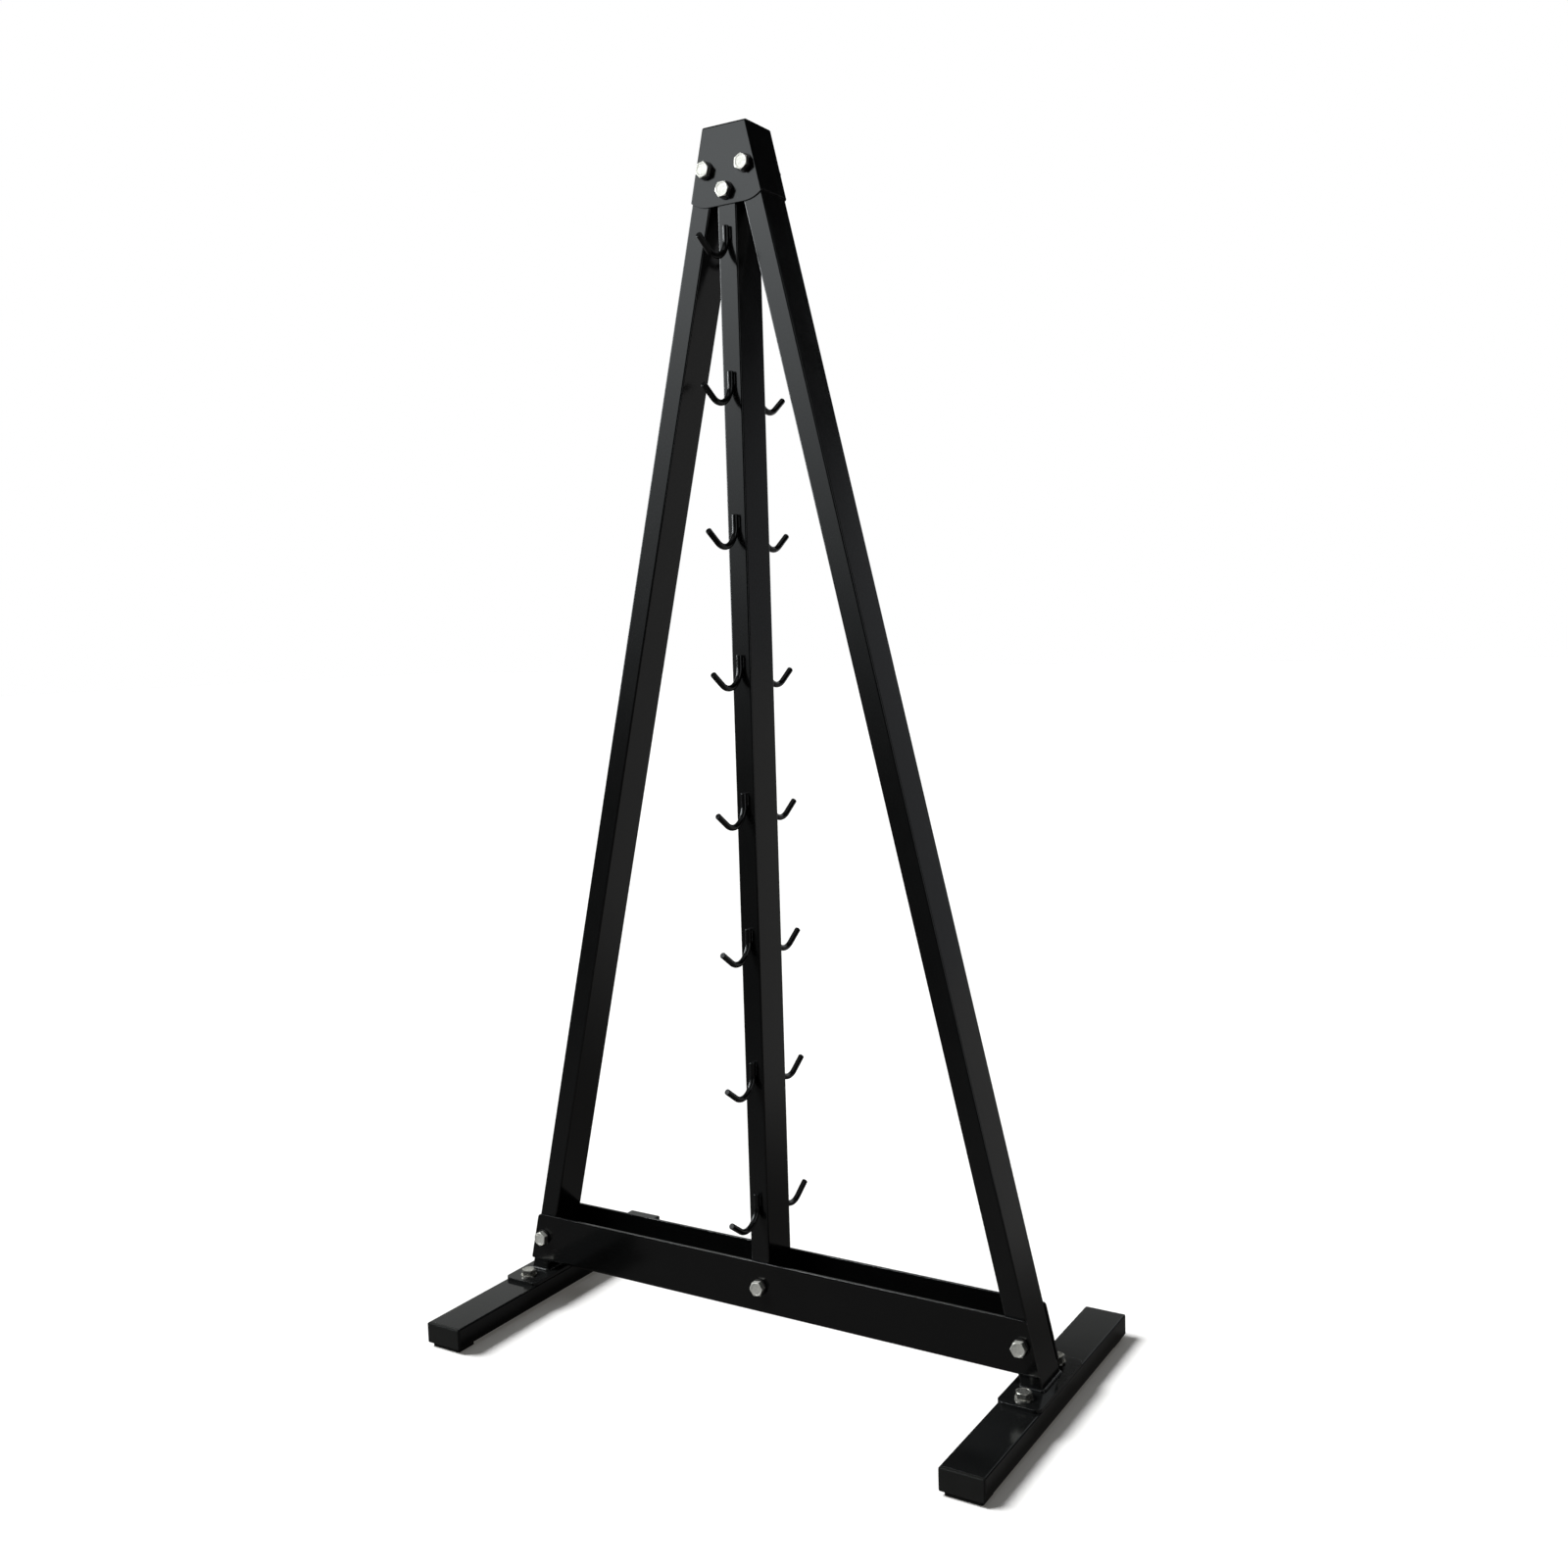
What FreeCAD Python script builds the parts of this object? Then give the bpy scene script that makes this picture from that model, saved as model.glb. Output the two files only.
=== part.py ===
import FreeCAD, Part
import math
import os

import Sketcher

# A-frame hook rack. Two leaning tube legs meet under a folded sheet hood, an upright tube with
# J-hooks on its front and back hangs between them, and a channel crossbeam ties all three together
# above two flat tube feet.
#
# Frame: origin on the floor midway between the feet, X along the crossbeam, -Y to the front, +Z up.
# Left and right pieces, and front and rear ones, are the same piece, turned half a turn about Z
# where that matters.

Vector = FreeCAD.Vector
X_AXIS, Y_AXIS, Z_AXIS = Vector(1, 0, 0), Vector(0, 1, 0), Vector(0, 0, 1)
doc = FreeCAD.newDocument("HookRack")

# ---------------------------------------------------------------- driving dimensions (mm)

DIMENSIONS = (
    ("rack_height", 1410, "floor to the top of the hood"),
    ("leg_spread", 350, "centre line of a leg at floor level, from the middle"),
    ("leg_slope", 0.238, "sideways run of a leg per unit of height"),
    ("tube_depth", 50, "front-to-back size of leg and post tube"),
    ("tube_width", 25, "narrow size of leg and post tube"),
    ("tube_wall", 1.5, "wall of every tube"),
    ("tube_corner", 2, "outer corner radius of every tube"),
    ("post_top", 1358, "height of the upright's top end"),
    ("foot_width", 50, "foot tube, side to side"),
    ("foot_height", 25, "foot tube, bottom to top"),
    ("foot_length", 403, "foot tube without its end caps"),
    ("pad_thick", 5, "rubber pad"),
    ("pad_length", 28, "rubber pad, front to back"),
    ("pad_inset", 4, "pad edge in from the foot's edge and end"),
    ("pad_corner", 3, "corner radius of the pad"),
    ("flange_thick", 4, "end cap flange beyond the tube's end"),
    ("flange_edge", 1.5, "rounding of the end cap's face"),
    ("plug_length", 16, "end cap plug inside the tube"),
    ("plug_play", 0.2, "gap between the plug and the tube's inside"),
    ("plug_wall", 2, "wall of the hollow plug"),
    ("plate_thick", 4, "plate welded under a leg"),
    ("plate_length", 130, "leg plate, front to back"),
    ("plate_corner", 8, "corner radius of the leg plate"),
    ("plate_bolt", 47, "foot bolt from the leg's middle"),
    ("beam_bottom", 48, "underside of the crossbeam"),
    ("beam_tall", 62, "height of the crossbeam"),
    ("beam_sheet", 3, "sheet of the crossbeam"),
    ("beam_bend", 4, "outer bend radius of the crossbeam"),
    ("beam_corner", 5, "rounding of the flange's top corners"),
    ("beam_proud", 1, "flange end beyond the leg's outer face"),
    ("beam_bolt", 80, "height of the crossbeam bolts"),
    ("hood_sheet", 1.5, "sheet of the hood"),
    ("hood_tall", 87, "height of the hood's front and back"),
    ("hood_skirt", 9, "how far front and back hang below the sides"),
    ("hood_round", 37, "radius at the lower corners of the front and back"),
    ("hood_bend", 2.5, "outer bend radius of the hood"),
    ("hood_play", 0.1, "gap between hood sides and legs"),
    ("hood_leg_bolt", 1363, "height of the two upper hood bolts"),
    ("hood_post_bolt", 1338, "height of the lower hood bolt"),
    ("bolt_shank", 10, "M10 shank"),
    ("bolt_hole", 11, "clearance hole for the bolt"),
    ("bolt_flats", 16, "hex head and nut across flats"),
    ("hex_crown", 0.95, "diameter of a hexagon's flat end, as a part of its flats"),
    ("bolt_head", 6.4, "height of the bolt head"),
    ("bolt_end", 3, "bolt end beyond its nut"),
    ("bolt_chamfer", 1, "chamfer of the bolt's end"),
    ("nut_tall", 8.4, "height of the nut"),
    ("nut_bore", 10.2, "bore of the nut over the thread"),
    ("washer_outer", 20, "washer outer diameter"),
    ("washer_bore", 10.5, "washer inner diameter"),
    ("washer_thick", 2, "washer thickness"),
    ("foot_bolt_length", 20, "shank of the bolt that holds a leg plate"),
    ("hook_rod", 7, "round bar of the hooks"),
    ("hook_bend", 23, "centre-line bend radius of a hook"),
    ("hook_stem", 37, "stem's top above the bar's lowest centre-line point"),
    ("hook_tip", 22, "straight length of the tip"),
    ("hook_rise", 35, "angle of the tip above horizontal, in degrees"),
    ("hook_edge", 0.8, "rounding of the bar's cut ends"),
    ("hook_highest", 1263, "lowest point of the top hook's centre line"),
    ("hook_pitch", 158, "step from hook to hook"),
)
HOOKS_PER_FACE = 8
LEFT, RIGHT = 180, 0
FRONT, REAR = 0, 180
TOLERANCE = 1e-3

# How far each hex head is turned about its own axis, in degrees, as the bolts were tightened.
HOOD_TURNS = (12, 30, 2)
BEAM_TURNS = (27, 8, 3)
FOOT_TURNS = (20, 50, 5, 38)

sheet = doc.addObject("Spreadsheet::Sheet", "Dims")
for row, (alias, value, meaning) in enumerate(DIMENSIONS, start=1):
    sheet.set(f"A{row}", meaning)
    sheet.set(f"B{row}", str(value))
    sheet.setAlias(f"B{row}", alias)
doc.recompute()

# Expressions that several pieces share.
SECANT = "sqrt(1 + Dims.leg_slope ^ 2)"
FOOT_TOP = "(Dims.pad_thick + Dims.foot_height)"
PLATE_TOP = f"({FOOT_TOP} + Dims.plate_thick)"
LEG_FOOT_X = f"(Dims.leg_spread - Dims.leg_slope * {PLATE_TOP})"
LEG_TALL = f"(Dims.rack_height - Dims.hood_sheet - {PLATE_TOP})"
LEG_HALF = f"(Dims.tube_width / 2 * {SECANT})"
POST_BOTTOM = "(Dims.beam_bottom + Dims.beam_sheet)"
HOOD_BOTTOM = "(Dims.rack_height - Dims.hood_tall)"
HOOD_INNER = f"(Dims.leg_spread + {LEG_HALF} + Dims.hood_play)"
HOOD_OUTER = f"({HOOD_INNER} + Dims.hood_sheet * {SECANT})"
HOOD_BOLT_X = "(Dims.leg_spread - Dims.leg_slope * Dims.hood_leg_bolt)"
BEAM_BOLT_X = "(Dims.leg_spread - Dims.leg_slope * Dims.beam_bolt)"


def number(expression):
    """Value of an expression over the sheet."""
    return float(sheet.evalExpression(expression))


# ---------------------------------------------------------------- modelling helpers

def new_body(label):
    body = doc.addObject("PartDesign::Body", label)
    body.Label = label
    return body


def place(piece, x="0", y="0", z="0", turn=0):
    """Turn a piece about Z, then bind its position to expressions."""
    piece.Placement = FreeCAD.Placement(Vector(), FreeCAD.Rotation(Z_AXIS, turn))
    for axis, expression in zip("xyz", (x, y, z)):
        piece.setExpression(f"Placement.Base.{axis}", expression)


def new_sketch(body, name, role, across="0", up="0", out="0"):
    """Sketch on one of the body's own origin planes, shifted within and off that plane."""
    sketch = body.newObject("Sketcher::SketchObject", name)
    plane = next(item for item in body.Origin.OriginFeatures if item.Role == role)
    sketch.AttachmentSupport = [(plane, "")]
    sketch.MapMode = "FlatFace"
    for axis, expression in zip("xyz", (across, up, out)):
        if expression != "0":
            sketch.setExpression(f"AttachmentOffset.Base.{axis}", expression)
    return sketch


def add_constraint(sketch, name, expression, *constraint):
    """Dimensional constraint with a name, driven by an expression."""
    index = sketch.addConstraint(Sketcher.Constraint(*constraint))
    sketch.renameConstraint(index, name)
    sketch.setExpression(f"Constraints.{name}", expression)


def add_lines(sketch, points):
    """Closed loop of straight lines through points; returns the lines' indices."""
    corners = [Vector(x, y, 0) for x, y in points]
    ends = corners[1:] + corners[:1]
    lines = [sketch.addGeometry(Part.LineSegment(a, b), False) for a, b in zip(corners, ends)]
    for line, following in zip(lines, lines[1:] + lines[:1]):
        sketch.addConstraint(Sketcher.Constraint("Coincident", line, 2, following, 1))
    return lines


def add_trapezium(sketch, name, bottom, top, tall):
    """Trapezium symmetric about the sketch's Y axis, standing on its X axis."""
    wide, narrow, height = number(bottom), number(top), number(tall)
    low, right, high, _ = add_lines(sketch, (
        (-wide / 2, 0), (wide / 2, 0), (narrow / 2, height), (-narrow / 2, height)))
    sketch.addConstraint([
        Sketcher.Constraint("Horizontal", low),
        Sketcher.Constraint("Symmetric", low, 1, low, 2, -1, 1),
        Sketcher.Constraint("Symmetric", high, 1, high, 2, -2),
    ])
    add_constraint(sketch, f"{name}_bottom", bottom, "DistanceX", low, 1, low, 2, wide)
    add_constraint(sketch, f"{name}_top", top, "DistanceX", high, 2, high, 1, narrow)
    add_constraint(sketch, f"{name}_tall", tall, "DistanceY", right, 1, right, 2, height)


def add_rectangle(sketch, name, width, tall):
    """Rectangle centred on the sketch's origin."""
    across, up = number(width) / 2, number(tall) / 2
    low, right, high, left = add_lines(sketch, (
        (-across, -up), (across, -up), (across, up), (-across, up)))
    sketch.addConstraint([
        Sketcher.Constraint("Horizontal", low),
        Sketcher.Constraint("Horizontal", high),
        Sketcher.Constraint("Vertical", right),
        Sketcher.Constraint("Vertical", left),
        Sketcher.Constraint("Symmetric", low, 1, high, 1, -1, 1),
    ])
    add_constraint(sketch, f"{name}_width", width, "DistanceX", low, 1, low, 2, 2 * across)
    add_constraint(sketch, f"{name}_tall", tall, "DistanceY", right, 1, right, 2, 2 * up)


def add_bolt_hole(sketch):
    """Circle of the bolt hole's size on the sketch's origin."""
    radius = number("Dims.bolt_hole") / 2
    circle = sketch.addGeometry(Part.Circle(Vector(), Z_AXIS, radius), False)
    sketch.addConstraint(Sketcher.Constraint("Coincident", circle, 3, -1, 1))
    add_constraint(sketch, "hole", "Dims.bolt_hole", "Diameter", circle, 2 * radius)


def add_feature(body, kind, name, profile, expressions, **settings):
    """Pad, Pocket or Hole on a sketch, with some properties bound to expressions."""
    feature = body.newObject(f"PartDesign::{kind}", name)
    feature.Profile = profile
    for key, setting in settings.items():
        setattr(feature, key, setting)
    for key, expression in expressions.items():
        feature.setExpression(key, expression)
    body.Tip = feature
    return feature


def pad(body, name, profile, length, both_ways=False, backwards=False):
    return add_feature(body, "Pad", name, profile, {"Length": length}, Midplane=both_ways,
                       Reversed=backwards)


def cut_across(body, name, profile, length):
    """Pocket centred on its sketch plane, so that it cuts as far each way."""
    return add_feature(body, "Pocket", name, profile, {"Length": length}, Midplane=True)


def round_edges(body, name, radius, chosen):
    """Fillet on the edges of the body's tip that chosen(edge) accepts."""
    doc.recompute()
    base = body.Tip
    edges = [f"Edge{index}" for index, edge in enumerate(base.Shape.Edges, start=1)
             if chosen(edge)]
    fillet = body.newObject("PartDesign::Fillet", name)
    fillet.Base = (base, edges)
    fillet.setExpression("Radius", radius)
    body.Tip = fillet


def runs_along(edge, direction):
    """True for a straight edge parallel to a direction."""
    if not isinstance(edge.Curve, Part.Line):
        return False
    return edge.Curve.Direction.cross(direction).Length < TOLERANCE


# ---------------------------------------------------------------- tubes

def make_upright_tube(label, tall, slope="0", stretch="1"):
    """Rectangular tube standing on the XY plane with level ends, leaning towards -X."""
    body = new_body(label)
    section = new_sketch(body, f"{label}_section", "XY_Plane")
    add_rectangle(section, "outside", f"Dims.tube_width * {stretch}", "Dims.tube_depth")
    add_rectangle(section, "inside", f"(Dims.tube_width - 2 * Dims.tube_wall) * {stretch}",
                  "Dims.tube_depth - 2 * Dims.tube_wall")
    wall = pad(body, f"{label}_wall", section, tall)
    wall.UseCustomVector = True
    wall.Direction = Z_AXIS
    wall.setExpression("Direction.x", f"-{slope} / {stretch}")
    wall.setExpression("Direction.z", f"1 / {stretch}")
    doc.recompute()
    along = wall.Direction
    round_edges(body, f"{label}_corners", "Dims.tube_corner",
                lambda edge: runs_along(edge, along) and is_outer_corner(edge))
    return body


def is_outer_corner(edge):
    """True for a tube's long edge on its outside, by how far forward or back it lies."""
    return abs(abs(edge.CenterOfMass.y) - number("Dims.tube_depth / 2")) < TOLERANCE


def make_leg(label, turn):
    body = make_upright_tube(label, LEG_TALL, "Dims.leg_slope", SECANT)
    for name, level in (("beam", "Dims.beam_bolt"), ("hood", "Dims.hood_leg_bolt")):
        rise = f"({level} - {PLATE_TOP})"
        drill = new_sketch(body, f"{label}_{name}_drill", "XZ_Plane",
                           across=f"-Dims.leg_slope * {rise}", up=rise)
        add_bolt_hole(drill)
        cut_across(body, f"{label}_{name}_hole", drill, "2 * Dims.tube_depth")
    side = "-1" if turn == LEFT else "1"
    place(body, x=f"{side} * {LEG_FOOT_X}", z=PLATE_TOP, turn=turn)
    return body


def make_post():
    body = make_upright_tube("centre_post", f"Dims.post_top - {POST_BOTTOM}")
    for name, level in (("beam", "Dims.beam_bolt"), ("hood", "Dims.hood_post_bolt")):
        drill = new_sketch(body, f"post_{name}_drill", "XZ_Plane", up=f"{level} - {POST_BOTTOM}")
        add_bolt_hole(drill)
        cut_across(body, f"post_{name}_hole", drill, "2 * Dims.tube_depth")
    place(body, z=POST_BOTTOM)
    return body


# ---------------------------------------------------------------- crossbeam

def make_crossbeam():
    """Open-topped channel; its flanges overlap the legs and its web stops between them."""
    body = new_body("crossbeam")
    overlap = f"Dims.leg_spread + {LEG_HALF} + Dims.beam_proud"
    outline = new_sketch(body, "beam_outline", "XZ_Plane")
    add_trapezium(outline, "beam",
                  f"2 * ({overlap} - Dims.leg_slope * Dims.beam_bottom)",
                  f"2 * ({overlap} - Dims.leg_slope * (Dims.beam_bottom + Dims.beam_tall))",
                  "Dims.beam_tall")
    pad(body, "beam_block", outline, "Dims.tube_depth + 2 * Dims.beam_sheet", both_ways=True)

    trough = new_sketch(body, "beam_trough", "YZ_Plane", up="Dims.beam_sheet + Dims.beam_tall / 2")
    add_rectangle(trough, "trough", "Dims.tube_depth", "Dims.beam_tall")
    cut_across(body, "beam_channel", trough, "3 * Dims.leg_spread")

    web_half = f"(Dims.leg_spread - {LEG_HALF} - Dims.leg_slope * {POST_BOTTOM} - Dims.beam_proud)"
    for name, side in (("left", "-"), ("right", "")):
        notch = new_sketch(body, f"beam_{name}_notch", "XY_Plane",
                           across=f"{side}({web_half} + 2 * Dims.tube_width)")
        add_rectangle(notch, "notch", "4 * Dims.tube_width", "Dims.tube_depth")
        cut_across(body, f"beam_{name}_web_end", notch, "4 * Dims.beam_sheet")

    for name, reach in (("left", -1), ("middle", 0), ("right", 1)):
        drill = new_sketch(body, f"beam_{name}_drill", "XZ_Plane",
                           across=f"{reach} * {BEAM_BOLT_X}",
                           up="Dims.beam_bolt - Dims.beam_bottom")
        add_bolt_hole(drill)
        cut_across(body, f"beam_{name}_hole", drill, "2 * Dims.tube_depth")

    round_edges(body, "beam_bends", "Dims.beam_bend",
                lambda edge: runs_along(edge, X_AXIS)
                and edge.CenterOfMass.z < TOLERANCE
                and abs(edge.CenterOfMass.y) > number("(Dims.tube_depth + Dims.beam_sheet) / 2"))
    round_edges(body, "beam_flange_corners", "Dims.beam_corner",
                lambda edge: runs_along(edge, Y_AXIS)
                and abs(edge.CenterOfMass.z - number("Dims.beam_tall")) < TOLERANCE)
    place(body, z="Dims.beam_bottom")
    return body


# ---------------------------------------------------------------- hood

def make_hood():
    """Sheet hood: front, back, top and two sides, open below, with a skirt front and back."""
    body = new_body("top_hood")
    side_foot = f"({HOOD_OUTER} - Dims.leg_slope * ({HOOD_BOTTOM} + Dims.hood_skirt))"
    side_head = f"({HOOD_OUTER} - Dims.leg_slope * Dims.rack_height)"

    outline = new_sketch(body, "hood_outline", "XZ_Plane")
    radius, skirt, tall = (number(f"Dims.hood_{name}") for name in ("round", "skirt", "tall"))
    half_wide, half_top = number(side_foot), number(side_head)
    arc_turn = math.acos(1 - skirt / radius)
    half_low = half_wide - radius * math.sin(arc_turn)
    low = outline.addGeometry(Part.LineSegment(Vector(-half_low, 0, 0), Vector(half_low, 0, 0)))
    right_arc = outline.addGeometry(corner_arc(half_low, radius, 0, arc_turn))
    right = outline.addGeometry(
        Part.LineSegment(Vector(half_wide, skirt, 0), Vector(half_top, tall, 0)))
    high = outline.addGeometry(
        Part.LineSegment(Vector(half_top, tall, 0), Vector(-half_top, tall, 0)))
    left = outline.addGeometry(
        Part.LineSegment(Vector(-half_top, tall, 0), Vector(-half_wide, skirt, 0)))
    left_arc = outline.addGeometry(corner_arc(-half_low, radius, -arc_turn, 0))
    outline.addConstraint([
        Sketcher.Constraint("Tangent", low, 2, right_arc, 1),
        Sketcher.Constraint("Coincident", right_arc, 2, right, 1),
        Sketcher.Constraint("Coincident", right, 2, high, 1),
        Sketcher.Constraint("Coincident", high, 2, left, 1),
        Sketcher.Constraint("Coincident", left, 2, left_arc, 1),
        Sketcher.Constraint("Tangent", left_arc, 2, low, 1),
        Sketcher.Constraint("Horizontal", low),
        Sketcher.Constraint("Symmetric", low, 1, low, 2, -1, 1),
        Sketcher.Constraint("Symmetric", right, 1, left, 2, -2),
        Sketcher.Constraint("Symmetric", high, 1, high, 2, -2),
    ])
    add_constraint(outline, "corner_radius", "Dims.hood_round", "Radius", right_arc, radius)
    add_constraint(outline, "skirt", "Dims.hood_skirt", "DistanceY", low, 2, right, 1, skirt)
    add_constraint(outline, "wide", f"2 * {side_foot}", "DistanceX", left, 2, right, 1,
                   2 * half_wide)
    add_constraint(outline, "narrow", f"2 * {side_head}", "DistanceX", high, 2, high, 1,
                   2 * half_top)
    add_constraint(outline, "tall", "Dims.hood_tall", "DistanceY", low, 2, high, 1, tall)
    pad(body, "hood_block", outline, "Dims.tube_depth + 2 * Dims.hood_sheet", both_ways=True)
    depth = number("Dims.tube_depth / 2 + Dims.hood_sheet")
    round_edges(body, "hood_bends", "Dims.hood_bend",
                lambda edge: is_hood_fold(edge, depth, tall))

    hollow = new_sketch(body, "hood_hollow", "XZ_Plane")
    add_trapezium(hollow, "hollow", f"2 * ({HOOD_INNER} - Dims.leg_slope * {HOOD_BOTTOM})",
                  f"2 * ({HOOD_INNER} - Dims.leg_slope * (Dims.rack_height - Dims.hood_sheet))",
                  "Dims.hood_tall - Dims.hood_sheet")
    cut_across(body, "hood_inside", hollow, "Dims.tube_depth")

    gap = new_sketch(body, "hood_gap", "XZ_Plane")
    add_rectangle(gap, "gap", f"3 * {side_foot}", "2 * Dims.hood_skirt")
    cut_across(body, "hood_side_ends", gap, "Dims.tube_depth")

    for name, reach, level in (("left", -1, "leg"), ("middle", 0, "post"), ("right", 1, "leg")):
        drill = new_sketch(body, f"hood_{name}_drill", "XZ_Plane",
                           across=f"{reach} * {HOOD_BOLT_X}",
                           up=f"Dims.hood_{level}_bolt - {HOOD_BOTTOM}")
        add_bolt_hole(drill)
        cut_across(body, f"hood_{name}_hole", drill, "2 * Dims.tube_depth")

    place(body, z=HOOD_BOTTOM)
    return body


def corner_arc(centre_x, radius, start, end):
    """Arc above a level line it touches at centre_x; angles in radians from that lowest point."""
    circle = Part.Circle(Vector(centre_x, radius, 0), Z_AXIS, radius)
    lowest = 1.5 * math.pi
    return Part.ArcOfCircle(circle, lowest + start, lowest + end)


def is_hood_fold(edge, depth, tall):
    """True for the outer folds of the hood: the four long corners and the top's rim."""
    if not isinstance(edge.Curve, Part.Line):
        return False
    middle = edge.CenterOfMass
    on_face = abs(abs(middle.y) - depth) < TOLERANCE
    on_top = abs(middle.z - tall) < TOLERANCE
    leans = abs(edge.Curve.Direction.z) > 0.5
    return on_top or (on_face and leans)


# ---------------------------------------------------------------- feet

def make_foot(label, side):
    """Flat tube lying front to back, with two holes in its top wall."""
    body = new_body(label)
    section = new_sketch(body, f"{label}_section", "XZ_Plane", up="Dims.foot_height / 2")
    add_rectangle(section, "outside", "Dims.foot_width", "Dims.foot_height")
    add_rectangle(section, "inside", "Dims.foot_width - 2 * Dims.tube_wall",
                  "Dims.foot_height - 2 * Dims.tube_wall")
    pad(body, f"{label}_wall", section, "Dims.foot_length", both_ways=True)
    edge_x = number("Dims.foot_width / 2")
    round_edges(body, f"{label}_corners", "Dims.tube_corner",
                lambda edge: runs_along(edge, Y_AXIS)
                and abs(abs(edge.CenterOfMass.x) - edge_x) < TOLERANCE)
    for name, reach in (("front", "-"), ("rear", "")):
        drill = new_sketch(body, f"{label}_{name}_drill", "XY_Plane",
                           up=f"{reach}Dims.plate_bolt", out="Dims.foot_height")
        add_bolt_hole(drill)
        cut_across(body, f"{label}_{name}_hole", drill, "Dims.foot_height")
    place(body, x=f"{side} * {LEG_FOOT_X}", z="Dims.pad_thick")
    return body


def make_leg_plate(label, side):
    """Rounded plate under a leg, bolted down in front of and behind it."""
    body = new_body(label)
    outline = new_sketch(body, f"{label}_outline", "XY_Plane")
    add_rectangle(outline, "plate", "Dims.foot_width", "Dims.plate_length")
    pad(body, f"{label}_sheet", outline, "Dims.plate_thick")
    round_edges(body, f"{label}_corners", "Dims.plate_corner",
                lambda edge: runs_along(edge, Z_AXIS))
    for name, reach in (("front", "-"), ("rear", "")):
        drill = new_sketch(body, f"{label}_{name}_drill", "XY_Plane",
                           up=f"{reach}Dims.plate_bolt", out="Dims.plate_thick")
        add_bolt_hole(drill)
        doc.recompute()
        add_feature(body, "Hole", f"{label}_{name}_hole", drill, {"Diameter": "Dims.bolt_hole"},
                    DepthType="ThroughAll")
    place(body, x=f"{side} * {LEG_FOOT_X}", z=FOOT_TOP)
    return body


def make_end_cap(label, side, turn):
    """Plastic cap: a flange over the tube's end and a hollow plug inside it."""
    body = new_body(label)
    face = new_sketch(body, f"{label}_face", "XZ_Plane", up="Dims.foot_height / 2")
    add_rectangle(face, "flange", "Dims.foot_width", "Dims.foot_height")
    pad(body, f"{label}_flange", face, "Dims.flange_thick")
    round_edges(body, f"{label}_corners", "Dims.tube_corner",
                lambda edge: runs_along(edge, Y_AXIS))
    front = number("-Dims.flange_thick")
    round_edges(body, f"{label}_edge", "Dims.flange_edge",
                lambda edge: abs(edge.BoundBox.YMin - front) < TOLERANCE
                and abs(edge.BoundBox.YMax - front) < TOLERANCE)

    gap = "2 * (Dims.tube_wall + Dims.plug_play)"
    ring = new_sketch(body, f"{label}_ring", "XZ_Plane", up="Dims.foot_height / 2")
    add_rectangle(ring, "outside", f"Dims.foot_width - {gap}", f"Dims.foot_height - {gap}")
    inner_gap = "2 * (Dims.tube_wall + Dims.plug_play + Dims.plug_wall)"
    add_rectangle(ring, "inside", f"Dims.foot_width - {inner_gap}",
                  f"Dims.foot_height - {inner_gap}")
    pad(body, f"{label}_plug", ring, "Dims.plug_length", backwards=True)

    reach = "-1" if turn == FRONT else "1"
    place(body, x=f"{side} * {LEG_FOOT_X}", y=f"{reach} * Dims.foot_length / 2",
          z="Dims.pad_thick", turn=turn)
    return body


def make_pad(label, side, turn):
    """Rubber block under one end of a foot."""
    body = new_body(label)
    outline = new_sketch(body, f"{label}_outline", "XY_Plane")
    add_rectangle(outline, "pad", "Dims.foot_width - 2 * Dims.pad_inset", "Dims.pad_length")
    pad(body, f"{label}_block", outline, "Dims.pad_thick")
    round_edges(body, f"{label}_corners", "Dims.pad_corner",
                lambda edge: runs_along(edge, Z_AXIS))
    reach = "-1" if turn == FRONT else "1"
    middle = "(Dims.foot_length / 2 + Dims.flange_thick - Dims.pad_inset - Dims.pad_length / 2)"
    place(body, x=f"{side} * {LEG_FOOT_X}", y=f"{reach} * {middle}", turn=turn)
    return body


# ---------------------------------------------------------------- hooks

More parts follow.
